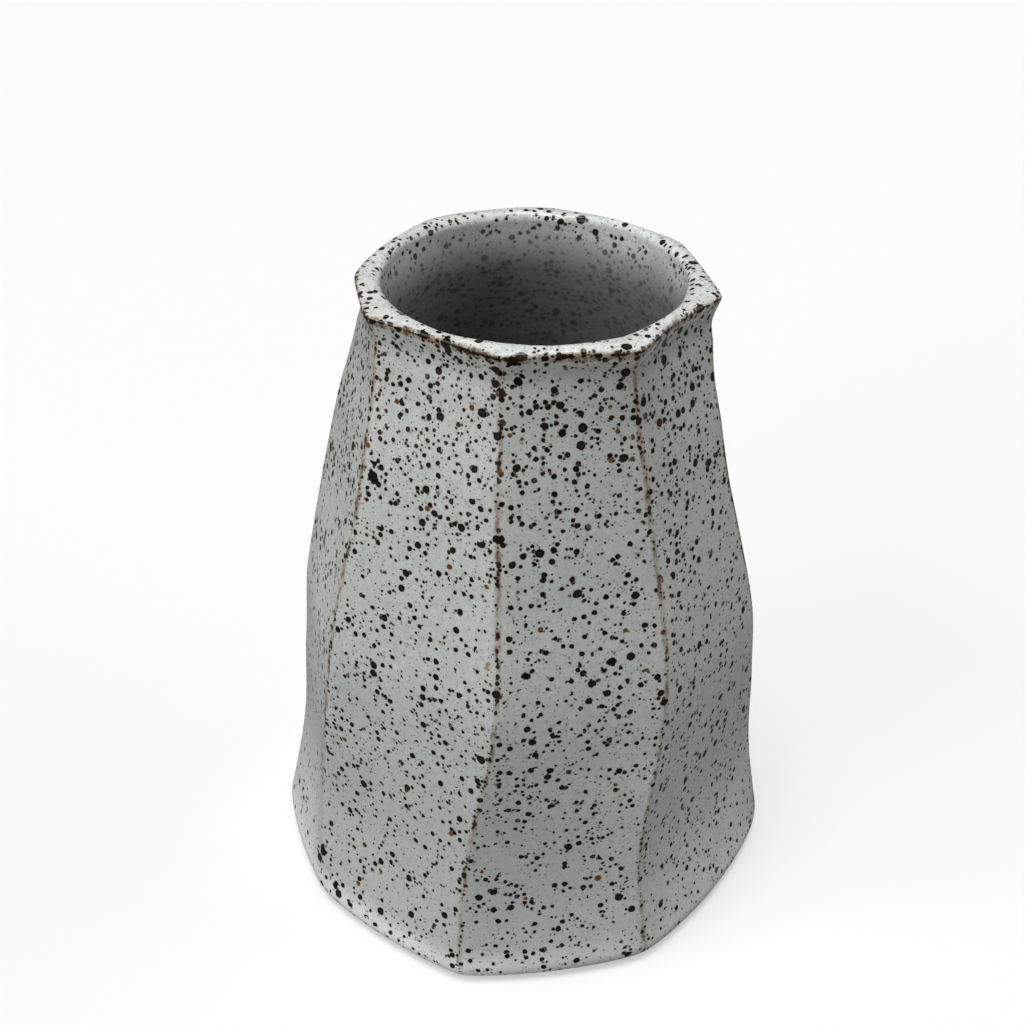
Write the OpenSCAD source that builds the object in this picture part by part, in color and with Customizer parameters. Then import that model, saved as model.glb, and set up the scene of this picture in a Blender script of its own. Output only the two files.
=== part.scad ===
// Ceramic bud vase: a thrown stoneware bottle form whose wet wall was cut by hand
// into eight uneven facets, glazed inside and out, with a bare foot.
// Origin at the centre of the foot, on the surface that it stands on; +Z up;
// -Y is the front. Millimetres.

/* [Body] */
// Height from the foot to the crest of the lip
height = 100; // [85:1:120]
// Radius of the ridges at the foot, before its edge is rounded
foot_r = 42.8; // [40:0.1:45]
// Radius of the ridges a fifth of the way up, above the flare of the foot
heel_r = 37.9; // [37:0.1:40]
// Radius of the ridges at half height
belly_r = 35.2; // [34:0.1:37]
// Radius of the ridges four fifths of the way up
shoulder_r = 28.6; // [28:0.1:30.5]
// Radius of the ridges at the neck, under the lip
neck_r = 24.5; // [24.5:0.1:26.5]
// Radius of the rounded edge around the foot
foot_round = 3.5; // [2:0.1:4.5]

/* [Facets] */
// How far a facet bows out between its ridges: 0 is flat, 1 is round
facet_bow = 0.12; // [0:0.01:0.4]
// The same bow at the foot, where the cuts run out into the round base
foot_bow = 0.45; // [0.2:0.05:0.9]
// Columns of triangles across each facet
columns = 6; // [3:1:8]

/* [Lip] */
// Radius of the lip at its corners, before what each one stands out
lip_r = 25; // [25:0.1:27]
// Radius of the round mouth inside the lip
mouth_r = 21.2; // [19:0.1:21.3]
// Drop from the crest of the lip to its outer edge
edge_drop = 0.7; // [0.4:0.1:1.2]
// Depth of the hollow under the lip
cove = 0.3; // [0:0.05:0.4]

/* [Wall] */
// Thickness behind the middle of a facet, both glazes included
wall = 2.6; // [2.5:0.1:4]
// Thickness of the floor
floor_t = 6; // [4:0.5:9]
// Radius of the curve from the wall into the floor
floor_round = 9; // [6:0.5:12]

/* [Glaze] */
// Thickness of the outer glaze on a facet; it thins to half on the ridges
glaze = 0.4; // [0.2:0.05:0.5]
// Thickness of the glaze on the lip and inside
liner = 0.3; // [0.2:0.05:0.4]
// Height of the line where the outer glaze ends above the bare foot
glaze_line = 0.9; // [0.6:0.1:1.5]

/* [Hidden] */

// Each hand-cut ridge, going round from the left of the front: its angle from
// the front at five heights, how far it stands out at the foot, and how far at
// the lip.
RIDGES = [
    [[-86, -90, -91, -89, -88], -0.5,  0.2],
    [[-52, -58, -55, -53, -58], -0.7,  1.3],
    [[-13, -13,  -7,  -8, -10],  0.3,  0.45],
    [[ 28,  28,  34,  33,  31], -0.9,  1.7],
    [[ 80,  81,  76,  69,  77], -0.9,  1.3],
    [[119, 121, 118, 120, 120],  0.0, -0.2],
    [[171, 168, 174, 172, 175],  0.2,  0.0],
    [[219, 222, 217, 220, 220],  0.2,  0.2],
];
// The heights of those five angles, as parts of the whole height
RIDGE_HEIGHTS = [0, 0.2, 0.5, 0.75, 1];
// Bow of each facet at the lip, from the ridge of the same number to the next:
// below zero it is dished
LIP_BOW = [0.15, -0.05, -0.1, -0.45, 0.1, 0.45, 0.6, 0.5];

facets = len(RIDGES);
// Where the flare of the foot, the cut of the lip and the hollow under it begin
flare_z = 0.15 * height;
lip_zone = 0.86 * height;
cove_z = 0.92 * height;
// Outer edge of the lip, and where the inside of the lip meets the wall
edge_z = height - edge_drop;
throat_drop = 1.5;
throat_z = height - throat_drop;
// Where the wall inside begins to turn out to the mouth
turn_z = 0.9 * height;
// A flat facet's middle is about this part of its ridges' radius
FLAT = 0.92;
// Radius of the flat middle of the floor inside
middle_r = 4;
PROFILE = [
    [0, foot_r],
    [0.08 * height, mix(foot_r, heel_r, 0.5)],
    [0.2 * height, heel_r],
    [0.35 * height, mix(heel_r, belly_r, 0.5)],
    [0.5 * height, belly_r],
    [0.8 * height, shoulder_r],
    [0.95 * height, neck_r],
    [height, lip_r],
];
// Heights of the rings of points up the glazed outside: around the edge of the
// foot, up the wall, and through the hollow under the lip
GLAZED_Z = concat(
    [for (i = [0 : 2]) mix(glaze_line, foot_round, i * i / 9)],
    [for (i = [0 : 12]) mix(foot_round, lip_zone, i / 12)],
    [mix(lip_zone, cove_z, 0.5)],
    [for (i = [0 : 3]) mix(cove_z, edge_z, i / 4)]
);
// The section of the lip, from near its outer edge to the throat: the part of
// its width that has been crossed, and the drop below its crest
LIP = [
    [0.12, 0.55 * edge_drop],
    [0.35, 0.15 * edge_drop],
    [0.6, 0],
    [0.8, 0.1 * throat_drop],
    [0.93, 0.4 * throat_drop],
    [1, throat_drop],
];

function mix(a, b, t) = a + (b - a) * t;
function ease(t) = let(u = min(max(t, 0), 1)) u * u * (3 - 2 * u);

// A smooth curve through a list of [position, value] pairs
function slope(list, i) =
    let(a = max(i - 1, 0), b = min(i + 1, len(list) - 1))
    (list[b][1] - list[a][1]) / (list[b][0] - list[a][0]);
function span_of(list, x, i = 0) =
    i >= len(list) - 2 || x < list[i + 1][0] ? i : span_of(list, x, i + 1);
function curve(list, x) =
    let(
        i = span_of(list, x),
        w = list[i + 1][0] - list[i][0],
        u = (x - list[i][0]) / w,
        v = 1 - u
    )
    list[i][1] * (1 + 2 * u) * v * v + list[i + 1][1] * (1 + 2 * v) * u * u
    + w * u * v * (slope(list, i) * v - slope(list, i + 1) * u);

// Ridge k, which may be one past the last: angle and radius at height z
function ridge_angle(k, z) =
    let(ridge = RIDGES[k % facets][0])
    360 * floor(k / facets)
    + curve([for (i = [0 : 4]) [RIDGE_HEIGHTS[i] * height, ridge[i]]], z);
function ridge_r(k, z) =
    let(ridge = RIDGES[k % facets])
    curve(PROFILE, z)
    + ridge[1] * (1 - ease(z / (0.35 * height)))
    + ridge[2] * ease((z - lip_zone) / (height - lip_zone));

// Bow of facet k at height z
function bow(k, z) =
    mix(
        mix(foot_bow, facet_bow, ease(z / flare_z)),
        LIP_BOW[k],
        ease((z - lip_zone) / (edge_z - lip_zone))
    );

// Distance from the axis to facet k, a part t of the way across it, at height z
function facet_r(k, t, z) =
    let(
        a = ridge_r(k, z),
        b = ridge_r(k + 1, z),
        turn = ridge_angle(k + 1, z) - ridge_angle(k, z),
        flat = a * b * sin(turn) / (a * sin(turn * t) + b * sin(turn * (1 - t)))
    )
    flat + bow(k, z) * (mix(a, b, t) - flat);

// What the rounded edge of the foot and the hollow under the lip take off
function foot_cut(z) =
    z >= foot_round ? 0
    : foot_round - sqrt(foot_round * foot_round - pow(foot_round - z, 2));
function cove_cut(z) =
    z <= cove_z || z >= edge_z ? 0
    : cove * pow(sin(180 * (z - cove_z) / (edge_z - cove_z)), 2);

// Thickness of the outer glaze, a part t of the way across a facet
function glaze_t(t) = glaze * (0.5 + 0.5 * min(1, 4 * min(t, 1 - t)));

// Every column around the vase: [facet, part of the way across it]
COLUMNS = [for (k = [0 : facets - 1], j = [0 : columns - 1]) [k, j / columns]];
function column_angle(c, z) =
    mix(ridge_angle(c[0], z), ridge_angle(c[0] + 1, z), c[1]);
function at(angle, r, z) = [r * sin(angle), -r * cos(angle), z];

// A ring of points on the outside at height z, or on the clay under its glaze
function outside_ring(z, glazed = true) =
    [for (c = COLUMNS)
        at(
            column_angle(c, z),
            facet_r(c[0], c[1], z) - foot_cut(z) - cove_cut(z)
            - (glazed ? 0 : glaze_t(c[1])),
            z
        )];
// The clay's own edge under the outer edge of the lip
function clay_edge_ring() =
    [for (c = COLUMNS)
        at(
            column_angle(c, edge_z),
            facet_r(c[0], c[1], edge_z) - glaze_t(c[1]),
            edge_z - liner
        )];
// Rings over the lip, on its glaze or on the clay under it
function lip_rings(glazed = true) =
    let(under = glazed ? 0 : liner)
    [for (p = LIP)
        [for (c = COLUMNS)
            let(outer = facet_r(c[0], c[1], edge_z) - (glazed ? 0 : glaze_t(c[1])))
            at(
                column_angle(c, edge_z),
                mix(outer, mouth_r + under, p[0]),
                height - p[1] - under
            )]];

// The round inside, under the lip
function inside_r(z) =
    mix(
        FLAT * curve(PROFILE, z) - wall,
        mouth_r,
        ease((z - turn_z) / (throat_z - turn_z))
    );
function round_ring(r, z) = [for (c = COLUMNS) at(column_angle(c, height), r, z)];
// Rings from the throat down the wall, round into the floor and in to its
// middle, on the glaze or on the clay under it
function inside_rings(glazed = true) =
    let(
        under = glazed ? 0 : liner,
        low = floor_t + floor_round,
        low_r = inside_r(low)
    )
    concat(
        [for (i = [1 : 3]) let(z = mix(throat_z, turn_z, i / 3))
            round_ring(inside_r(z) + under, z)],
        [for (i = [1 : 8]) let(z = mix(turn_z, low, i / 8))
            round_ring(inside_r(z) + under, z)],
        [for (a = [22.5 : 22.5 : 90])
            round_ring(
                low_r - floor_round * (1 - cos(a)) + under * cos(a),
                low - (floor_round + under) * sin(a)
            )],
        [round_ring(middle_r, floor_t - under)]
    );

function reversed(list) = [for (i = [len(list) - 1 : -1 : 0]) list[i]];

// A closed solid through rings of points. Its first and last rings are joined
// to each other, or each is filled in.
module loft(rings, joined = false) {
    n = len(rings[0]);
    m = len(rings);
    sides = [
        for (i = [0 : m - (joined ? 1 : 2)], j = [0 : n - 1])
        let(
            a = i * n + j,
            b = i * n + (j + 1) % n,
            c = (i + 1) % m * n + (j + 1) % n,
            d = (i + 1) % m * n + j
        )
        each [[a, c, b], [a, d, c]]
    ];
    first = [for (j = [0 : n - 1]) j];
    last = [for (j = [n - 1 : -1 : 0]) (m - 1) * n + j];
    polyhedron(
        [for (ring = rings) each ring],
        joined ? sides : concat(sides, [first, last])
    );
}

// The fired clay: one piece from the bare foot, up the facets, over the lip and
// down to the floor inside
module stoneware_body() {
    color("#a58a6a")
    loft(concat(
        [for (z = concat([0, 0.4 * glaze_line], GLAZED_Z)) outside_ring(z, false)],
        [clay_edge_ring()],
        lip_rings(false),
        inside_rings(false)
    ));
}

// The speckled coat outside, from just above the foot to the edge of the lip
module outer_glaze() {
    color("#b4b6b2")
    loft(
        concat(
            [for (z = GLAZED_Z) outside_ring(z)],
            [outside_ring(edge_z)],
            [clay_edge_ring()],
            [for (z = reversed(GLAZED_Z)) outside_ring(z, false)]
        ),
        joined = true
    );
}

// The coat over the lip and all of the inside
module liner_glaze() {
    color("#dcdfda")
    loft(concat(
        reversed(inside_rings(false)),
        reversed(lip_rings(false)),
        [clay_edge_ring()],
        [outside_ring(edge_z)],
        lip_rings(),
        inside_rings()
    ));
}

stoneware_body();
outer_glaze();
liner_glaze();
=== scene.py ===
"""Looks of a hand-cut stoneware bud vase with a speckled glaze.

The vase's section and its eight ridges follow the CAD model's own rules, at a
finer grain: soft crests along the ridges, a rounded lip, the gentle swell of a
hand-cut wall and the rolled end of the glaze above the bare foot. Lengths in
the shape functions are millimetres; meshes are metres, in the CAD frame.
"""
import math

import bpy
import numpy as np
from mathutils import Matrix, Vector, noise


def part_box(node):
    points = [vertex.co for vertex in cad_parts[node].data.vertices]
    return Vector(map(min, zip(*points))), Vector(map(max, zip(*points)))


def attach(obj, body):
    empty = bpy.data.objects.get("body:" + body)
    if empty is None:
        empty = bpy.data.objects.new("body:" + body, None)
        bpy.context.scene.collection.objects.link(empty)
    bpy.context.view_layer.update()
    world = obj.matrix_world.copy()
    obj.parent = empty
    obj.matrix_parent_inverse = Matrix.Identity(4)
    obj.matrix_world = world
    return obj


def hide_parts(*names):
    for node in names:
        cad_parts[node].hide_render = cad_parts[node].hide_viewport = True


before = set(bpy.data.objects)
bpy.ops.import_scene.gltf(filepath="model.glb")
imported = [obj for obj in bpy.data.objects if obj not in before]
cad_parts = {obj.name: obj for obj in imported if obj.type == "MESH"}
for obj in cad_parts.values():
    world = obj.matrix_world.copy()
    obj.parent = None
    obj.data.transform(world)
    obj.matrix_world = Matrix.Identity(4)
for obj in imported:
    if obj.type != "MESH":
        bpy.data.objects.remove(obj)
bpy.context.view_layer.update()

MM = 0.001

# ---------------------------------------------------------------- sizes, in mm

glaze_low, glaze_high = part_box("outer_glaze")
liner_low, liner_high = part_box("liner_glaze")
HEIGHT = liner_high[2] / MM
EDGE_Z = glaze_high[2] / MM
GLAZE_LINE = glaze_low[2] / MM
GLAZE = 0.4
LINER = 0.3
FLOOR_T = liner_low[2] / MM + LINER

FOOT_R = 42.8
HEEL_R = 37.9
BELLY_R = 35.2
SHOULDER_R = 28.6
NECK_R = 24.5
LIP_R = 25.0
MOUTH_R = 21.2
FOOT_ROUND = 3.5
FLOOR_ROUND = 9.0
WALL = 2.6
COVE = 0.3
FACET_BOW = 0.12
FOOT_BOW = 0.45
THROAT_DROP = 1.5
# A flat facet's middle is about this part of its ridges' radius
FLAT = 0.92

# Each ridge: its angle from the front at five heights, and how far it stands
# out at the foot and at the lip
RIDGES = [
    ((-86, -90, -91, -89, -88), -0.5, 0.2),
    ((-52, -58, -55, -53, -58), -0.7, 1.3),
    ((-13, -13, -7, -8, -10), 0.3, 0.45),
    ((28, 28, 34, 33, 31), -0.9, 1.7),
    ((80, 81, 76, 69, 77), -0.9, 1.3),
    ((119, 121, 118, 120, 120), 0.0, -0.2),
    ((171, 168, 174, 172, 175), 0.2, 0.0),
    ((219, 222, 217, 220, 220), 0.2, 0.2),
]
RIDGE_HEIGHTS = (0, 0.2, 0.5, 0.75, 1)
LIP_BOW = (0.15, -0.05, -0.1, -0.45, 0.1, 0.45, 0.6, 0.5)
FACETS = len(RIDGES)

FLARE_Z = 0.15 * HEIGHT
LIP_ZONE = 0.86 * HEIGHT
COVE_Z = 0.92 * HEIGHT
TURN_Z = 0.9 * HEIGHT
THROAT_Z = HEIGHT - THROAT_DROP
PROFILE = (
    (0, FOOT_R),
    (0.08 * HEIGHT, (FOOT_R + HEEL_R) / 2),
    (0.2 * HEIGHT, HEEL_R),
    (0.35 * HEIGHT, (HEEL_R + BELLY_R) / 2),
    (0.5 * HEIGHT, BELLY_R),
    (0.8 * HEIGHT, SHOULDER_R),
    (0.95 * HEIGHT, NECK_R),
    (HEIGHT, LIP_R),
)

# Detail that is finer than the CAD model
CREST = 0.5             # softness of the ridges' crests
CREST_WANDER = 0.15     # how far a ridge's line wavers
# How much softer each ridge's crest is at the foot and at the lip
FOOT_CREST = np.array((1.8, 1.8, 1.4, 1.8, 3.4, 1.8, 1.8, 1.8))
LIP_CREST = np.array((0.5, 0.3, 0.2, 0.6, 0.0, 1.4, 1.4, 1.4))
SWELL = 0.10            # slow swell of the cut facets
RIPPLE = 0.025          # finer unevenness of the glaze
EDGE_ROUND = 0.45       # rounding of the lip's outer edge
BEAD = 0.4              # height over which the glaze rolls off at the foot
LINE_WAVE = 0.3         # how far the glaze line wavers
LIP_WAVE = 0.26         # how far the crest of the lip wavers
MOUTH_WAVE = 0.3        # how far the mouth strays from round
LIP_DEPTH = 4.0         # where the lip's piece ends, below the crest, inside
CREST_ACROSS = 0.6      # how far across the lip its crest is, from the outer edge


# ------------------------------------------------------------- shape functions

def mix(a, b, t):
    return a + (b - a) * t


def ease(t):
    u = np.clip(t, 0, 1)
    return u * u * (3 - 2 * u)


def curve(points, x):
    """A smooth curve through (position, value) points, at the positions x."""
    xs = np.array([p[0] for p in points], float)
    ys = np.array([p[1] for p in points], float)
    last = len(xs) - 1
    after = np.minimum(np.arange(last + 1) + 1, last)
    before = np.maximum(np.arange(last + 1) - 1, 0)
    slope = (ys[after] - ys[before]) / (xs[after] - xs[before])
    i = np.clip(np.searchsorted(xs, x, side="right") - 1, 0, last - 1)
    w = xs[i + 1] - xs[i]
    u = (x - xs[i]) / w
    v = 1 - u
    ends = ys[i] * (1 + 2 * u) * v * v + ys[i + 1] * (1 + 2 * v) * u * u
    return ends + w * u * v * (slope[i] * v - slope[i + 1] * u)


def noise_at(x, y, z, scale, seed):
    """Smooth noise from -1 to 1 with features about 1 / scale mm apart."""
    shape = np.shape(x)
    flat = zip(np.ravel(x) * scale, np.ravel(y) * scale, np.ravel(z) * scale)
    shift = Vector((seed * 17.3, seed * 5.1, seed * 11.7))
    return np.array([noise.noise(Vector(p) + shift) for p in flat]).reshape(shape)


def wander(k, z):
    """Sideways waver of ridge k in mm."""
    k = k % FACETS
    return CREST_WANDER * (1 - ease((z - LIP_ZONE) / 8)) * (
        np.sin(z / 4.3 + k * 2.1) * 0.45
        + np.sin(z / 8.9 + k * 4.7) * 0.8
        + np.sin(z / 2.3 + k * 1.3) * 0.2
    )


def ridge_angle(k, z):
    """Angle of ridge k in degrees. Ridge 8 is ridge 0, a turn on."""
    heights = [h * HEIGHT for h in RIDGE_HEIGHTS]
    angles = RIDGES[k % FACETS][0]
    sway = np.degrees(wander(k, z) / curve(PROFILE, z))
    return 360 * (k // FACETS) + curve(list(zip(heights, angles)), z) + sway


def ridge_r(k, z):
    _, at_foot, at_lip = RIDGES[k % FACETS]
    low = at_foot * (1 - ease(z / (0.35 * HEIGHT)))
    high = at_lip * ease((z - LIP_ZONE) / (HEIGHT - LIP_ZONE))
    return curve(PROFILE, z) + low + high


def bow(k, z):
    plain = mix(FOOT_BOW, FACET_BOW, ease(z / FLARE_Z))
    return mix(plain, LIP_BOW[k % FACETS], ease((z - LIP_ZONE) / (EDGE_Z - LIP_ZONE)))


def turn_of(k, z):
    return np.radians(ridge_angle(k + 1, z) - ridge_angle(k, z))


def crest_slope(k, z):
    """How steeply the two facets fall away from ridge k."""
    before, after = (k - 1) % FACETS, k % FACETS
    sides = [np.tan(turn_of(f, z) / 2) * (1 - bow(f, z)) for f in (before, after)]
    return (sides[0] + sides[1]) / 2


def foot_cut(z):
    inside = np.clip(FOOT_ROUND - z, 0, FOOT_ROUND)
    return FOOT_ROUND - np.sqrt(FOOT_ROUND ** 2 - inside ** 2)


def cove_cut(z):
    u = np.clip((z - COVE_Z) / (EDGE_Z - COVE_Z), 0, 1)
    return COVE * np.sin(math.pi * u) ** 2


def facet_section(k, t, z):
    """Radius and angle on facet k, a part t of the way across it, at height z,
    with the ridges' crests softened, and the distance to the nearer ridge."""
    a, b, turn = ridge_r(k, z), ridge_r(k + 1, z), turn_of(k, z)
    flat = a * b * np.sin(turn) / (a * np.sin(turn * t) + b * np.sin(turn * (1 - t)))
    r = flat + bow(k, z) * (mix(a, b, t) - flat)
    angle = np.radians(mix(ridge_angle(k, z), ridge_angle(k + 1, z), t))
    away = np.minimum(t, 1 - t) * turn * r
    slope = np.where(t < 0.5, crest_slope(k, z), crest_slope(k + 1, z))
    near = np.where(t < 0.5, k % FACETS, (k + 1) % FACETS)
    soft = CREST * (1 + 0.45 * np.sin(z / 5.7 + near * 1.9) * np.sin(z / 13.0 + near * 1.9))
    soft = soft + LIP_CREST[near] * ease((z - LIP_ZONE) / 12)
    soft = soft + FOOT_CREST[near] * (1 - ease(z / 10))
    r = r - slope * (np.sqrt(away ** 2 + soft ** 2) - away)
    return r, angle, away


def inside_r(z):
    wall = FLAT * curve(PROFILE, z) - WALL
    return mix(wall, MOUTH_R, ease((z - TURN_Z) / (THROAT_Z - TURN_Z)))


# -------------------------------------------------------------------- the grid
# Rows run up the outside, over the lip and down the inside. Columns run round.

def dense_at_ends(count, power=2.2):
    """Positions from 0 up to 1, close together near both ridges."""
    u = np.linspace(-1, 1, count + 1)[:-1]
    return (np.sign(u) * (1 - (1 - np.abs(u)) ** power) + 1) / 2


COLUMNS_EACH = 34
T = dense_at_ends(COLUMNS_EACH)
COLUMNS = FACETS * COLUMNS_EACH


def around(section, z):
    """Runs a facet's section function over every column. z has a value for each
    row and column."""
    parts = []
    for k in range(FACETS):
        own = z[:, k * COLUMNS_EACH:(k + 1) * COLUMNS_EACH]
        parts.append(section(k, T[None, :] + 0 * own, own))
    return [np.concatenate(values, axis=1) for values in zip(*parts)]


def rows_of(zs):
    return np.repeat(np.asarray(zs, float)[:, None], COLUMNS, axis=1)


def glaze_thickness(away):
    """The outer glaze runs thin over the ridges."""
    return GLAZE * (0.5 + 0.5 * ease(away / 4.0))


def outside_rows():
    """Radius, height, angle, distance to the ridge of the glazed outside."""
    around_angle = around(facet_section, rows_of([GLAZE_LINE]))[1][0]
    line = GLAZE_LINE + LINE_WAVE * (
        0.6 * np.sin(3 * around_angle + 1.0) + 0.4 * np.sin(7 * around_angle)
    )
    up = np.linspace(0, 1, 13)[:-1, None] ** 1.6
    foot = mix(line[None, :], 5.0, up)
    wall = rows_of(np.linspace(5.0, COVE_Z, 78)[:-1])
    lip = rows_of(np.linspace(COVE_Z, EDGE_Z - EDGE_ROUND, 16))
    z = np.concatenate([foot, wall, lip])
    r, angle, away = around(facet_section, z)
    foot_band = np.clip(1 - (z - line[None, :]) / BEAD, 0, 1)
    bead = glaze_thickness(away) * (1 - np.sqrt(1 - foot_band ** 2))
    return r - foot_cut(z) - cove_cut(z) - bead, z, angle, away


def mouth_wave(angle):
    """How far the mouth's edge strays outward from a circle."""
    return MOUTH_WAVE * (np.sin(3 * angle + 1.1) * 0.6 + np.sin(8 * angle) * 0.4)


def lip_rows(below):
    """Radius and height over the lip, from the last row of the outside, below,
    to the throat inside: round its outer edge, over its crest and down."""
    edge = rows_of([EDGE_Z])
    edge_r, angle, away = [v[0] for v in around(facet_section, edge)]
    width = edge_r - MOUTH_R - mouth_wave(angle)
    crest_z = HEIGHT + LIP_WAVE * (
        np.sin(2 * angle + 0.6) * 0.4 + np.sin(5 * angle + 2.0) * 0.3
        + np.sin(11 * angle + 4.0) * 0.3 - 1
    )

    def over(crossed):
        """The lip's top, a part crossed of the way from its edge to its crest."""
        # rounding can take this a hair below 0, and its power would not be a number
        left = np.maximum(1 - crossed / CREST_ACROSS, 0)
        drop = (crest_z - EDGE_Z) * left ** 2.4
        return edge_r - width * crossed, crest_z - drop

    first = np.minimum(EDGE_ROUND / width, 0.3)
    start, corner, end = below, (edge_r, EDGE_Z + 0 * edge_r), over(first)
    rows = []
    for u in np.linspace(0, 1, 10)[1:]:
        ways = ((1 - u) ** 2, 2 * u * (1 - u), u * u)
        rows.append([sum(w * p[i] for w, p in zip(ways, (start, corner, end))) for i in (0, 1)])
    for u in np.linspace(0, 1, 9)[1:]:
        rows.append(over(mix(first, CREST_ACROSS, u)))
    for a in np.linspace(0, math.pi / 2, 11)[1:]:
        fall = (crest_z - THROAT_Z) * (1 - math.cos(a))
        crossed = CREST_ACROSS + (1 - CREST_ACROSS) * math.sin(a)
        rows.append((edge_r - width * crossed, crest_z - fall))
    r = np.array([row[0] for row in rows])
    z = np.array([row[1] for row in rows])
    # the ridges fade out over the lip
    return r, z, angle[None, :] + 0 * r, away[None, :] + 3 * np.abs(edge_r - r)


def inside_rows(angle):
    """Radius and height down the round inside, to the middle of its floor."""
    low = FLOOR_T + FLOOR_ROUND
    zs = np.concatenate([
        np.linspace(THROAT_Z, HEIGHT - LIP_DEPTH, 6)[1:],
        np.linspace(HEIGHT - LIP_DEPTH, TURN_Z, 6)[1:],
        np.linspace(TURN_Z, low, 52)[1:],
    ])
    rings = 0.06 * np.sin(zs * 1.35) * ease((THROAT_Z - 4 - zs) / 6)
    r = inside_r(zs) + rings
    curl = np.linspace(0, math.pi / 2, 9)[1:]
    r = np.concatenate([r, inside_r(low) - FLOOR_ROUND * (1 - np.cos(curl))])
    z = np.concatenate([zs, low - FLOOR_ROUND * np.sin(curl)])
    flat = np.linspace(r[-1], 0.6, 12)[1:]
    r = np.concatenate([r, flat])
    z = np.concatenate([z, FLOOR_T + 0.08 * np.sin(flat * 1.1)])
    r, z = rows_of(r), rows_of(z)
    return r + mouth_wave(angle) * ease((z - THROAT_Z + 9) / 9), z


def build_grid():
    """Every point of the glazed surface, what it lies near, and the rows where
    the outside, the lip and the inside begin and end."""
    r, z, angle, away = outside_rows()
    outside = len(r)
    lip_r, lip_z, lip_angle, lip_away = lip_rows((r[-1], z[-1]))
    in_r, in_z = inside_rows(lip_angle[:1])
    in_angle = lip_angle[-1][None, :] + 0 * in_r
    r = np.concatenate([r, lip_r, in_r])
    z = np.concatenate([z, lip_z, in_z])
    angle = np.concatenate([angle, lip_angle, in_angle])
    away = np.concatenate([away, lip_away, 20 + 0 * in_r])
    x, y = r * np.sin(angle), -r * np.cos(angle)
    calm = ease((z - 1.0) / 4.0) * ease(r / 12.0)
    uneven = SWELL * noise_at(x, y, z, 0.085, 1) + RIPPLE * noise_at(x, y, z, 0.3, 2)
    r = r + uneven * calm
    points = np.stack([r * np.sin(angle), -r * np.cos(angle), z], axis=-1)
    edge_row = outside + 4
    lip_end = outside + len(lip_r) + 5
    along = np.linalg.norm(np.diff(points, axis=0), axis=-1)
    along = np.concatenate([np.zeros((1, COLUMNS)), np.cumsum(along, axis=0)])
    to_edge = along - along[edge_row][None, :]
    return points, away, to_edge, (edge_row, lip_end)


def grid_normals(points):
    """Outward normals of the grid, which closes on itself round the columns."""
    along = np.gradient(points, axis=0)
    across = np.roll(points, -1, axis=1) - np.roll(points, 1, axis=1)
    normals = np.cross(across, along)
    return normals / np.linalg.norm(normals, axis=-1, keepdims=True)


# ----------------------------------------------------------------------- meshes

def finish_piece(name, verts, faces, normals, smooth, layers, node):
    """Makes a mesh object with its own corner normals and named point values."""
    mesh = bpy.data.meshes.new(name)
    mesh.from_pydata([tuple(v) for v in np.asarray(verts) * MM], [], faces)
    mesh.polygons.foreach_set("use_smooth", [True] * len(mesh.polygons))
    corners = []
    for face, is_smooth in zip(mesh.polygons, smooth):
        own = face.normal
        corners += [normals[v] if is_smooth else own for v in face.vertices]
    mesh.normals_split_custom_set([tuple(n) for n in corners])
    for key, values in layers.items():
        layer = mesh.attributes.new(key, "FLOAT", "POINT")
        layer.data.foreach_set("value", np.asarray(values, np.float32).ravel())
    piece = bpy.data.objects.new(name, mesh)
    bpy.context.scene.collection.objects.link(piece)
    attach(piece, "root")
    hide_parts(node)
    return piece


def shell(name, front, back, normals, layers, ring, node):
    """A closed coat between two grids of points, front and back. A ring joins
    its last column to its first; a panel has walls at both sides."""
    rows, cols = front.shape[:2]
    count = rows * cols
    wrap = cols if ring else cols - 1
    front_faces, back_faces, walls = [], [], []
    for i in range(rows - 1):
        for j in range(wrap):
            n = (j + 1) % cols
            quad = (i * cols + j, i * cols + n, (i + 1) * cols + n, (i + 1) * cols + j)
            front_faces.append(quad)
            back_faces.append(tuple(count + v for v in reversed(quad)))
    for j in range(wrap):
        n = (j + 1) % cols
        top = (rows - 1) * cols
        walls.append((n, j, count + j, count + n))
        walls.append((top + j, top + n, count + top + n, count + top + j))
    if not ring:
        for i in range(rows - 1):
            a, b = i * cols, (i + 1) * cols
            walls.append((a, b, count + b, count + a))
            a, b = a + cols - 1, b + cols - 1
            walls.append((b, a, count + a, count + b))
    verts = np.concatenate([front.reshape(-1, 3), back.reshape(-1, 3)])
    both = np.concatenate([normals.reshape(-1, 3), -normals.reshape(-1, 3)])
    smooth = [True] * (2 * len(front_faces)) + [False] * len(walls)
    doubled = {k: np.concatenate([v.ravel(), v.ravel()]) for k, v in layers.items()}
    faces = front_faces + back_faces + walls
    return finish_piece(name, verts, faces, both, smooth, doubled, node)


def closed_loft(name, points, normals, node):
    """A closed solid through rings of points, with a fan at each end."""
    rows, cols = points.shape[:2]
    verts = points.reshape(-1, 3)
    ends = np.array([points[0].mean(axis=0), points[-1].mean(axis=0)])
    faces = []
    for i in range(rows - 1):
        for j in range(cols):
            n = (j + 1) % cols
            faces.append((i * cols + j, i * cols + n, (i + 1) * cols + n, (i + 1) * cols + j))
    first, last = rows * cols, rows * cols + 1
    top = (rows - 1) * cols
    for j in range(cols):
        n = (j + 1) % cols
        faces.append((n, j, first))
        faces.append((top + j, top + n, last))
    verts = np.concatenate([verts, ends])
    own = np.concatenate([normals.reshape(-1, 3), [[0, 0, -1], [0, 0, 1]]])
    return finish_piece(name, verts, faces, own, [True] * len(faces), {}, node)


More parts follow.
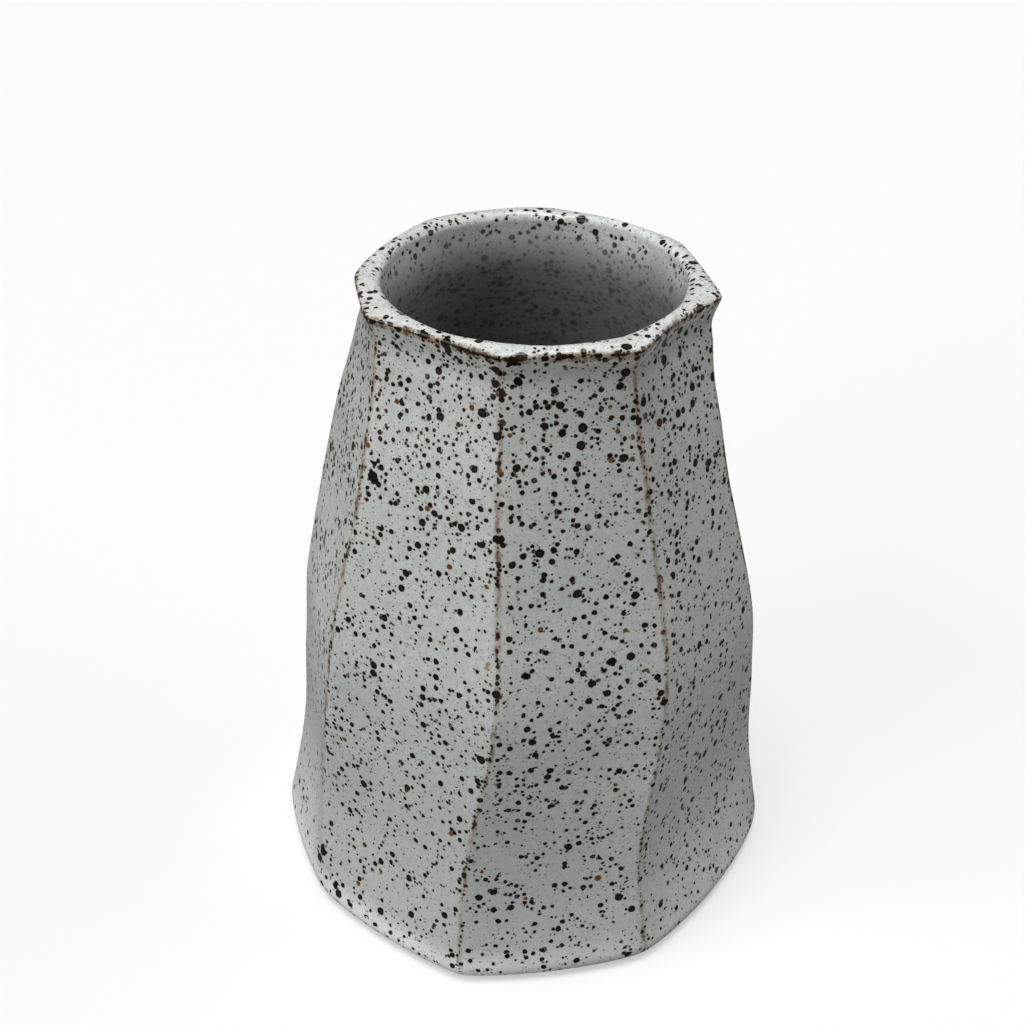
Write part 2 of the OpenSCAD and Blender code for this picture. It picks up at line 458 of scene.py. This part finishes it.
def foot_rows(line_r, line_z, angle):
    """The bare clay below the glaze line: the flat underside, with the arcs that
    the cutting wire left, and the rounded edge up to the glaze."""
    section = []
    edge_in = line_r - 2.2
    for r_part in np.linspace(0.02, 1, 34):
        r = edge_in * r_part
        x, y = r * np.sin(angle), -r * np.cos(angle)
        pull = np.hypot(x - 55, y - 30)
        marks = 0.05 * (1 + np.sin(pull * 1.9)) * ease((1 - r_part) / 0.1)
        section.append(np.stack([x, y, marks], axis=-1))
    for a in np.linspace(0, math.pi / 2, 8)[1:-1]:
        r = mix(edge_in, line_r, math.sin(a))
        z = line_z * (1 - math.cos(a))
        section.append(np.stack([r * np.sin(angle), -r * np.cos(angle), z], axis=-1))
    return np.array(section)


def build_vase():
    """All the pieces, as {name: object}."""
    points, away, to_edge, (edge_row, lip_end) = build_grid()
    normals = grid_normals(points)
    thick = np.where(np.arange(len(points))[:, None] <= edge_row, glaze_thickness(away), LINER)
    back = points - normals * thick[..., None]
    back[0] = points[0]
    layers = {"ridge_mm": away, "edge_mm": to_edge}
    pieces = {}
    for k in range(FACETS):
        cols = np.arange(k * COLUMNS_EACH, (k + 1) * COLUMNS_EACH + 1) % COLUMNS
        part = np.ix_(np.arange(edge_row + 1), cols)
        name = f"outer_glaze_facet_{k + 1}"
        own = {key: value[part] for key, value in layers.items()}
        pieces[name] = shell(name, points[part], back[part], normals[part], own,
                             False, "outer_glaze")
    for name, low, high in (("lip_glaze", edge_row, lip_end),
                            ("inside_glaze", lip_end, len(points) - 1)):
        part = slice(low, high + 1)
        own = {key: value[part] for key, value in layers.items()}
        pieces[name] = shell(name, points[part], back[part], normals[part], own,
                             True, "liner_glaze")
    line = back[0]
    angle = np.arctan2(line[:, 0], -line[:, 1])
    foot = foot_rows(np.hypot(line[:, 0], line[:, 1]), line[:, 2], angle)
    clay = np.concatenate([foot, back])
    pieces["fired_clay"] = closed_loft("fired_clay", clay, grid_normals(clay),
                                       "stoneware_body")
    return pieces


# -------------------------------------------------------------------- materials

class Nodes:
    """Short calls for building a material's nodes."""

    def __init__(self, name):
        self.material = bpy.data.materials.new(name)
        self.material.use_nodes = True
        self.tree = self.material.node_tree
        self.shader = self.tree.nodes["Principled BSDF"]

    def put(self, socket, value):
        if isinstance(value, bpy.types.NodeSocket):
            self.tree.links.new(value, socket)
        else:
            socket.default_value = value

    def new(self, kind, settings=None, **inputs):
        node = self.tree.nodes.new(kind)
        for key, value in (settings or {}).items():
            setattr(node, key, value)
        for key, value in inputs.items():
            self.put(node.inputs[key.replace("_", " ")], value)
        return node

    def math(self, operation, a, b=0.0, c=0.0):
        node = self.new("ShaderNodeMath", {"operation": operation})
        for socket, value in zip(node.inputs, (a, b, c)):
            self.put(socket, value)
        return node.outputs[0]

    def vector(self, operation, a, b):
        node = self.new("ShaderNodeVectorMath", {"operation": operation})
        self.put(node.inputs[0], a)
        self.put(node.inputs[1], b)
        return node.outputs[0]

    def scaled(self, a, factor):
        node = self.new("ShaderNodeVectorMath", {"operation": "SCALE"})
        self.put(node.inputs[0], a)
        self.put(node.inputs["Scale"], factor)
        return node.outputs[0]

    def step(self, value, low, high, to_low=0.0, to_high=1.0):
        """Goes smoothly from to_low to to_high as value goes from low to high."""
        node = self.new("ShaderNodeMapRange", {"interpolation_type": "SMOOTHSTEP"})
        for key, v in (("Value", value), ("From Min", low), ("From Max", high),
                       ("To Min", to_low), ("To Max", to_high)):
            self.put(node.inputs[key], v)
        return node.outputs[0]

    def colour(self, factor, a, b, blend="MIX"):
        node = self.new("ShaderNodeMix", {"data_type": "RGBA", "blend_type": blend})
        self.put(node.inputs[0], factor)
        self.put(node.inputs[6], a)
        self.put(node.inputs[7], b)
        return node.outputs[2]

    def noise(self, where, scale, detail=2.0, roughness=0.5):
        node = self.new("ShaderNodeTexNoise", Vector=where, Scale=scale, Detail=detail,
                        Roughness=roughness)
        return node.outputs["Fac"], node.outputs["Color"]

    def value_of(self, attribute):
        node = self.new("ShaderNodeAttribute", {"attribute_name": attribute})
        return node.outputs["Fac"]


def place_in_mm(n):
    """The point on the object, in mm."""
    return n.scaled(n.new("ShaderNodeTexCoord").outputs["Object"], 1 / MM)


def speck_layer(n, where, cell, radii, share, soft, shrink=0.0, blur=0.0):
    """Round specks, one at most in each cell of about `cell` mm, with radii in
    mm between the two given, less `shrink`; `share` is the part of the cells
    that has one; `soft` and `blur` widen the outline, in mm.
    Returns the masks of the specks, of the faint ring round them, of their dark
    middles and of the large ones' hearts, where a painted sheen goes, and each
    speck's own colour draw."""
    cells = n.new("ShaderNodeTexVoronoi", {"voronoi_dimensions": "3D"},
                  Vector=where, Scale=1 / cell, Randomness=0.75)
    draw = n.new("ShaderNodeSeparateColor", Color=cells.outputs["Color"])
    size = n.math("POWER", draw.outputs[0], 1.6)
    radius = n.math("MULTIPLY_ADD", size, radii[1] - radii[0], radii[0])
    away = n.math("MULTIPLY", cells.outputs["Distance"], cell)
    inside = n.math("SUBTRACT", n.math("SUBTRACT", radius, shrink), away)
    chosen = n.math("LESS_THAN", draw.outputs[1], share)
    outline = (n.math("MULTIPLY", blur, -0.6), n.math("MULTIPLY_ADD", blur, 0.6, soft))
    masks = [n.math("MULTIPLY", n.step(inside, low, high), chosen)
             for low, high in (outline, (-0.20, 0.02), (0.03, 0.12), (0.22, 0.50))]
    return (*masks, draw.outputs[2])


IRON_BLACK = (0.0055, 0.0045, 0.0038, 1)
IRON_BROWN = (0.020, 0.0085, 0.0045, 1)
IRON_EDGE = (0.042, 0.020, 0.013, 1)
IRON_RUST = (0.17, 0.066, 0.012, 1)
# a grey painted sheen in the hearts of large specks
IRON_SHEEN = (0.018, 0.019, 0.018, 1)
GREY_DOT = (0.12, 0.13, 0.125, 1)
HALO = (0.45, 0.40, 0.31, 1)
BREAK_TAN = (0.36, 0.255, 0.145, 1)
BREAK_BROWN = (0.062, 0.022, 0.008, 1)
BREAK_BLACK = (0.013, 0.006, 0.004, 1)
# Slow tints of the glaze, under the specks but for the last: a cool mottle and flecks of its
# own, then painted shade and painted light
TINT_MOTTLE = (0.47, 0.51, 0.505, 1)  # a cool mottle
TINT_FLECK = (0.38, 0.42, 0.425, 1)  # fine cool flecks
TINT_PAINTED_LOW_SHADE = (0.38, 0.395, 0.38, 1)  # painted shade, low down, on the left and in the middle
TINT_PAINTED_TOP_SHADE = (0.38, 0.395, 0.375, 1)  # painted shade near the lip, mostly on the right
TINT_PAINTED_LEFT_LIGHT = (0.85, 0.87, 0.84, 1)  # painted light, low on the leftmost facet
TINT_PAINTED_FOOT_LIGHT = (0.88, 0.90, 0.87, 1)  # painted light: the pale band at the foot
TINT_PAINTED_INSIDE_SHADE = (0.30, 0.315, 0.30, 1)  # painted shade down inside, under the specks
TINT_PAINTED_INSIDE_DARK = (0.29, 0.295, 0.28, 1)  # painted shade down inside, over the specks

# The iron specks by size: cell and radii in mm, part of the cells that has one,
# softness of the outline, and a shift that keeps the layers apart
SPECKS = (
    (0.62, (0.07, 0.15), 0.36, 0.05, (7.0, 23.0, 1.0)),
    (0.95, (0.16, 0.33), 0.64, 0.06, (0.0, 0.0, 0.0)),
    (1.40, (0.30, 0.52), 0.80, 0.07, (13.0, 5.0, 9.0)),
    (1.05, (0.24, 0.44), 0.20, 0.06, (19.0, 41.0, 2.0)),
    (2.6, (0.50, 0.76), 0.52, 0.08, (3.0, 17.0, 29.0)),
)

# The brown blotches along the ridges and the lip, by size: cell and radii in mm,
# part of the cells that has one, and a shift that keeps the layers apart
BLOTCHES = (
    (1.8, (0.50, 0.90), 0.62, (1.0, 62.0, 8.0)),
    (1.1, (0.34, 0.66), 0.90, (41.0, 2.0, 8.0)),
    (0.65, (0.20, 0.38), 1.00, (11.0, 3.0, 52.0)),
)
# The largest spots on the side that faces the camera: angle from the front in
# degrees, height and radius in mm, and colour
SPOTS = (
    (-28, 99.2, 0.80, IRON_BLACK),
    # these two spots take the painted sheen grey of a large speck's heart
    (-27.5, 98.2, 0.80, IRON_SHEEN),
    (-27, 97.2, 0.50, IRON_SHEEN),
    (-37, 99.3, 0.80, BREAK_BLACK),
    (-6, 98.5, 0.80, BREAK_BLACK),
    (-4, 95.3, 0.70, IRON_BLACK),
    (-3.5, 96.3, 0.50, IRON_BLACK),
    (-11, 97, 0.75, BREAK_BROWN),
    (-9.5, 94, 0.80, BREAK_BROWN),
    (-49, 77.5, 1.00, IRON_BLACK),
    (-49, 79.5, 0.60, IRON_BLACK),
    (-55, 8.5, 1.10, BREAK_BLACK),
    (-56, 6.5, 0.90, BREAK_BLACK),
    (-49, 4.5, 0.80, BREAK_BLACK),
    (-7.5, 75, 0.70, BREAK_BLACK),
    (25, 60, 0.45, IRON_RUST),
    (-9, 56.5, 0.55, BREAK_TAN),
    (20, 55.5, 0.80, IRON_BLACK),
    (18.5, 54.5, 0.50, IRON_BLACK),
    (0, 55, 0.70, IRON_BLACK),
    (66, 99.3, 0.80, BREAK_BLACK),
)


def spot_mask(n, where, angle, height, radius):
    """One spot on the outer glaze."""
    r, angles, _ = [v[0] for v in around(facet_section, rows_of([min(height, EDGE_Z)]))]
    near = np.argmin(np.abs(np.degrees(angles) - angle))
    side, out = angles[near], r[near]
    middle = (out * math.sin(side), -out * math.cos(side), height)
    node = n.new("ShaderNodeVectorMath", {"operation": "DISTANCE"})
    n.put(node.inputs[0], where)
    n.put(node.inputs[1], middle)
    return n.step(node.outputs["Value"], radius, radius - 0.12)


def near_break(n, ridge, edge, wobble):
    """How much the glaze thins at a point, from 0 to 1 at the crest of a ridge
    and just under the lip's outer edge: a soft band and a tight one."""
    below = n.math("ABSOLUTE", n.math("ADD", edge, 0.40))
    wide = n.math("MULTIPLY", wobble, 1.35)
    at_ridge = n.math("SUBTRACT", 1.0, n.step(ridge, 0.05, wide))
    at_lip = n.math("SUBTRACT", 1.0, n.step(below, 0.3, n.math("ADD", wide, 0.3)))
    tight_ridge = n.math("SUBTRACT", 1.0, n.step(ridge, 0.20, 0.62))
    tight_lip = n.math("SUBTRACT", 1.0, n.step(below, 0.45, 1.05))
    return at_ridge, at_lip, tight_ridge, tight_lip


def glaze_material(name, clean, warm, rim_share, low_share):
    """Satin stoneware glaze over a clay full of iron: black and brown specks in
    several sizes, thicker near the rim; faint drowned ones; and brown where it
    runs thin on the ridges and along the lip's edge. Slow tints paint shade low
    down, near the lip and inside, and light low on the left and along the foot."""
    n = Nodes(name)
    where = place_in_mm(n)
    across, _, height = n.new("ShaderNodeSeparateXYZ", Vector=where).outputs
    rise = n.math("ADD", n.step(height, 0.0, 0.45 * HEIGHT, low_share, 1.0),
                  n.step(height, 0.65 * HEIGHT, HEIGHT, 0.0, rim_share - 1.0))
    patches = n.noise(where, 0.24, 2.0)[0]
    crowd = n.math("MULTIPLY", rise, n.step(patches, 0.34, 0.66, 0.45, 1.55))
    crowd = n.math("MULTIPLY", crowd, n.step(across, 12, 30, 1.0, 0.72))
    # low on the leftmost facet: painted light, which draws it paler, and fewer specks
    lean = n.math("MULTIPLY_ADD", height, -0.1, across)
    painted_light_few_specks = n.math("MULTIPLY", n.step(lean, -36, -32.5, 1.0, 0.0),
                  n.step(height, 45, 80, 1.0, 0.0))
    crowd = n.math("MULTIPLY", crowd, n.math("MULTIPLY_ADD", painted_light_few_specks, -0.5, 1.0))

    edge = n.value_of("edge_mm")
    cloud = n.noise(where, 0.07, 3.0)[0]
    base = n.colour(n.step(cloud, 0.3, 0.7), clean, warm)
    mottle = n.noise(where, 0.9, 4.0, 0.65)[0]
    base = n.colour(n.step(mottle, 0.3, 0.7, 0.0, 0.60), base, TINT_MOTTLE)
    flecks = n.noise(where, 2.6, 3.0, 0.6)[0]
    base = n.colour(n.step(flecks, 0.50, 0.72, 0.0, 0.55), base, TINT_FLECK)
    # painted shade: the glaze is drawn darker low down, on the left and in the middle
    painted_low_shade = n.step(height, 0.02 * HEIGHT, 0.68 * HEIGHT, 0.55, 0.0)
    painted_low_shade = n.math("MULTIPLY", painted_low_shade, n.step(across, 2, 26, 1.0, 0.0))
    base = n.colour(painted_low_shade, base, TINT_PAINTED_LOW_SHADE)
    # painted shade: darker high up near the lip, mostly on the right, stopping short of the
    # edge
    painted_top_shade = n.math("MULTIPLY", n.step(height, 0.55 * HEIGHT, 0.95 * HEIGHT, 0.0, 0.60),
                  n.step(across, -10, 20, 0.25, 1.0))
    painted_top_shade = n.math("MULTIPLY", painted_top_shade, n.step(edge, -2.5, -0.8, 1.0, 0.0))
    base = n.colour(painted_top_shade, base, TINT_PAINTED_TOP_SHADE)
    # painted light: a pale band along the foot, strongest on the left
    foot_band = n.step(height, 1.0, n.math("MULTIPLY_ADD", cloud, 6.0, 4.0), 1.0, 0.0)
    foot_band = n.math("MULTIPLY", foot_band, n.step(across, -12, 14, 1.0, 0.35))
    # painted light low on the leftmost facet
    base = n.colour(n.math("MULTIPLY", painted_light_few_specks, 0.60), base, TINT_PAINTED_LEFT_LIGHT)
    base = n.colour(foot_band, base, TINT_PAINTED_FOOT_LIGHT)
    # painted shade: darker down inside, more on the right
    painted_inside_shade = n.math("MULTIPLY", n.step(edge, 3.0, 8.0), n.step(across, -5, 20, 0.40, 0.80))
    base = n.colour(painted_inside_shade, base, TINT_PAINTED_INSIDE_SHADE)

    # the glaze thins over the ridges and at the lip's outer edge
    wobble = n.noise(where, 0.5, 3.0, 0.6)[0]
    stretch = n.vector("MULTIPLY", where, (1.0, 1.0, 0.4))
    streak = n.noise(stretch, 0.9, 3.0, 0.6)[0]
    ridge_band, lip_band, ridge_tight, lip_tight = near_break(
        n, n.value_of("ridge_mm"), edge, wobble)
    worn = n.step(n.noise(where, 0.18, 2.0)[0], 0.36, 0.60, 0.45, 1.0)
    # on the left it stays thick over the ridges near the foot
    kept = n.math("MAXIMUM", n.step(across, -29, -20), n.step(height, 10, 45))
    worn = n.math("MULTIPLY", worn, kept)
    upper = n.math("MULTIPLY", worn, n.step(height, 0.2 * HEIGHT, HEIGHT, 0.65, 1.3))
    patchy = n.step(streak, 0.36, 0.60, 0.40, 1.0)
    tan = n.math("MULTIPLY", n.math("MAXIMUM", ridge_band, lip_band), patchy)
    base = n.colour(n.math("MULTIPLY", tan, upper), base, BREAK_TAN)
    thread = n.math("MULTIPLY", n.math("MAXIMUM", ridge_tight, lip_tight),
                    n.step(streak, 0.48, 0.64))
    base = n.colour(n.math("MULTIPLY", thread, n.math("MULTIPLY", worn, 0.8)), base,
                    BREAK_BROWN)

    # drowned specks, then the iron's sizes
    bend = n.vector("SUBTRACT", n.noise(where, 1.2, 2.0, 0.5)[1], (0.5, 0.5, 0.5))
    fine = n.vector("SUBTRACT", n.noise(where, 3.5, 1.0)[1], (0.5, 0.5, 0.5))
    ragged = n.vector("ADD", where, n.scaled(bend, 0.34))
    ragged = n.vector("ADD", ragged, n.scaled(fine, 0.16))
    drowned = speck_layer(n, n.vector("ADD", ragged, (31.0, 7.0, 3.0)),
                          0.54, (0.10, 0.22), 0.78, 0.12)[0]
    base = n.colour(n.math("MULTIPLY", drowned, 0.85), base, GREY_DOT)
    dark = 0.0
    blur = n.step(edge, 3.5, 12.0, 0.0, 0.40)
    for cell, radii, part, soft, shift in SPECKS:
        share = n.math("MULTIPLY", crowd, part)
        mask, ring, core, sheen_heart, draw = speck_layer(n, n.vector("ADD", ragged, shift),
                                                    cell, radii, share, soft, blur=blur)
        iron = n.colour(n.step(draw, 0.45, 0.90), IRON_BLACK, IRON_BROWN)
        iron = n.colour(core, IRON_EDGE, iron)
        iron = n.colour(n.step(draw, 0.965, 0.985), iron, IRON_RUST)
        # the large specks' hearts take a grey painted sheen
        iron = n.colour(sheen_heart, iron, IRON_SHEEN)
        if cell > 1:
            base = n.colour(n.math("MULTIPLY", ring, 0.25), base, HALO)
        base = n.colour(mask, base, iron)
        dark = n.math("MAXIMUM", dark, mask)

    # brown blotches crowd along the thin glaze, each with dark grain in it
    brown = n.colour(n.step(flecks, 0.42, 0.58), BREAK_BLACK, BREAK_BROWN)
    from_ridge = n.math("MULTIPLY", n.value_of("ridge_mm"), 0.55)
    from_lip = n.math("ABSOLUTE", n.math("ADD", edge, 0.25))
    from_lip = n.math("MULTIPLY", n.math("SUBTRACT", from_lip, 0.30), 0.6)
    for cell, radii, part, shift in BLOTCHES:
        for shrink, share in ((from_ridge, upper), (from_lip, worn)):
            mask, _, _, _, draw = speck_layer(n, n.vector("ADD", ragged, shift), cell, radii,
                                              n.math("MULTIPLY", share, part), 0.10, shrink)
            blotch = n.colour(n.step(draw, 0.3, 0.8), BREAK_BLACK, brown)
            blotch = n.colour(n.step(draw, 0.90, 0.98), blotch, IRON_RUST)
            base = n.colour(n.math("MULTIPLY", mask, 0.94), base, blotch)
            dark = n.math("MAXIMUM", dark, mask)

    torn = n.vector("ADD", ragged, n.scaled(bend, 1.0))
    for spot in SPOTS:
        mask = spot_mask(n, torn, *spot[:3])
        base = n.colour(mask, base, brown if spot[3] == BREAK_BROWN else spot[3])
        dark = n.math("MAXIMUM", dark, mask)

    # painted shade: darker down inside, laid over the specks, which also dulls them
    base = n.colour(n.step(edge, 3.0, 8.0, 0.0, 0.55), base, TINT_PAINTED_INSIDE_DARK)

    rough = n.math("MULTIPLY_ADD", mottle, 0.12, 0.22)
    rough = n.math("MULTIPLY_ADD", dark, -0.10, rough)
    peel = n.noise(where, 0.9, 2.0)[0]
    grain = n.noise(where, 3.2, 2.0)[0]
    relief = n.math("MULTIPLY_ADD", grain, 0.25, peel)
    relief = n.math("MULTIPLY_ADD", dark, -0.7, relief)
    bump = n.new("ShaderNodeBump", Strength=0.35, Distance=0.03 * MM, Height=relief)
    n.put(n.shader.inputs["Base Color"], base)
    n.put(n.shader.inputs["Roughness"], rough)
    n.put(n.shader.inputs["Normal"], bump.outputs[0])
    n.shader.inputs["IOR"].default_value = 1.5
    n.shader.inputs["Specular IOR Level"].default_value = 0.22
    n.shader.inputs["Coat Weight"].default_value = 0.35
    n.shader.inputs["Coat Roughness"].default_value = 0.07
    return n.material


def clay_material():
    """Bare fired stoneware: warm brown, gritty, with iron grog."""
    n = Nodes("fired_stoneware")
    where = place_in_mm(n)
    cloud = n.noise(where, 0.12, 3.0)[0]
    grain = n.noise(where, 2.4, 4.0, 0.65)[0]
    base = n.colour(n.step(cloud, 0.3, 0.7), (0.36, 0.235, 0.145, 1), (0.47, 0.33, 0.215, 1))
    base = n.colour(n.step(grain, 0.35, 0.7, 0.0, 0.45), base, (0.23, 0.14, 0.085, 1))
    mask = speck_layer(n, where, 1.3, (0.15, 0.42), 0.35, 0.08)[0]
    base = n.colour(mask, base, (0.03, 0.018, 0.012, 1))
    bump = n.new("ShaderNodeBump", Strength=0.7, Distance=0.12 * MM, Height=grain)
    n.put(n.shader.inputs["Base Color"], base)
    n.put(n.shader.inputs["Roughness"], n.math("MULTIPLY_ADD", grain, 0.15, 0.78))
    n.put(n.shader.inputs["Normal"], bump.outputs[0])
    return n.material


def paint(pieces):
    outside = glaze_material("speckled_glaze", (0.62, 0.645, 0.605, 1),
                             (0.67, 0.685, 0.64, 1), 2.9, 0.84)
    liner = glaze_material("liner_glaze", (0.79, 0.81, 0.775, 1), (0.83, 0.84, 0.80, 1),
                           1.1, 1.5)
    clay = clay_material()
    for name, piece in pieces.items():
        if name.startswith("outer_glaze"):
            material = outside
        elif name == "fired_clay":
            material = clay
        else:
            material = liner
        piece.data.materials.append(material)


# ------------------------------------------------------ floor, light and camera

SKY = 0.09    # how much the white sky lights the vase


def build_stage():
    """A wide pale floor and a white sky. Both look white to the camera and light
    the vase only faintly."""
    bpy.ops.mesh.primitive_circle_add(vertices=96, radius=6.0, fill_type="NGON",
                                      location=(0, 0, -0.00002))
    floor = bpy.context.object
    floor.name = "floor"
    n = Nodes("pale_floor")
    n.shader.inputs["Roughness"].default_value = 0.9
    n.shader.inputs["Specular IOR Level"].default_value = 0.2
    # the floor throws less light up at the vase than a white one would, and
    # hardly shows in the glaze
    path = n.new("ShaderNodeLightPath").outputs
    bounce = n.colour(path["Is Glossy Ray"], (0.26, 0.26, 0.26, 1), (0.06, 0.06, 0.06, 1))
    seen = path["Is Camera Ray"]
    n.put(n.shader.inputs["Base Color"], n.colour(seen, bounce, (0.50, 0.50, 0.50, 1)))
    # part of its white doesn't depend on the light, which keeps the shadows faint
    n.put(n.shader.inputs["Emission Color"], n.colour(seen, (0, 0, 0, 1), (1, 1, 1, 1)))
    n.shader.inputs["Emission Strength"].default_value = 0.45
    floor.data.materials.append(n.material)

    world = bpy.data.worlds.new("studio")
    bpy.context.scene.world = world
    world.use_nodes = True
    tree = world.node_tree
    seen = tree.nodes["Background"]
    seen.inputs["Color"].default_value = (1, 1, 1, 1)
    seen.inputs["Strength"].default_value = 1.0
    fill = tree.nodes.new("ShaderNodeBackground")
    fill.inputs["Color"].default_value = (0.98, 0.99, 1, 1)
    fill.inputs["Strength"].default_value = SKY
    path = tree.nodes.new("ShaderNodeLightPath")
    choose = tree.nodes.new("ShaderNodeMixShader")
    tree.links.new(path.outputs["Is Camera Ray"], choose.inputs[0])
    tree.links.new(fill.outputs[0], choose.inputs[1])
    tree.links.new(seen.outputs[0], choose.inputs[2])
    tree.links.new(choose.outputs[0], tree.nodes["World Output"].inputs["Surface"])


# Each light, at infinity: its name, where it comes from (angle round from the
# front, towards the right, and height, in degrees), how wide it is in degrees,
# and how bright
LIGHTS = (
    ("overhead", -60, 84, 30, 2.00),
    ("left_window", -59, 22, 56, 1.545),
    ("right_fill", 95, 7, 70, 1.24),
    ("lamp", -8, 72, 5, 0.22),
)


def build_lights():
    for name, side, up, width, energy in LIGHTS:
        lamp = bpy.data.lights.new(name, "SUN")
        lamp.angle = math.radians(width)
        lamp.energy = energy
        holder = bpy.data.objects.new(name, lamp)
        bpy.context.scene.collection.objects.link(holder)
        a, e = math.radians(side), math.radians(up)
        source = Vector((math.sin(a) * math.cos(e), -math.cos(a) * math.cos(e), math.sin(e)))
        holder.rotation_euler = source.to_track_quat("Z", "Y").to_euler()


# The camera looks down at the vase from in front
CAMERA_BACK = 178.9
CAMERA_UP = 180.1
CAMERA_TILT = math.radians(33.96)
CAMERA_PAN = math.radians(-0.88)
CAMERA_ROLL = math.radians(0.6)
LENS = 49.2


def build_camera():
    data = bpy.data.cameras.new("camera")
    data.lens = LENS
    data.sensor_width = 36
    data.clip_start = 0.01
    holder = bpy.data.objects.new("camera", data)
    bpy.context.scene.collection.objects.link(holder)
    level = math.cos(CAMERA_TILT)
    ahead = Vector((math.sin(CAMERA_PAN) * level, math.cos(CAMERA_PAN) * level,
                    -math.sin(CAMERA_TILT)))
    right = Vector((math.cos(CAMERA_PAN), -math.sin(CAMERA_PAN), 0))
    up = right.cross(ahead)
    c, s = math.cos(CAMERA_ROLL), math.sin(CAMERA_ROLL)
    axes = Matrix((c * right + s * up, c * up - s * right, -ahead)).transposed()
    place = Matrix.Translation(Vector((0, -CAMERA_BACK, CAMERA_UP)) * MM)
    holder.matrix_world = place @ axes.to_4x4()
    bpy.context.scene.camera = holder


paint(build_vase())
build_stage()
build_lights()
build_camera()
bpy.context.scene.view_settings.view_transform = "Standard"
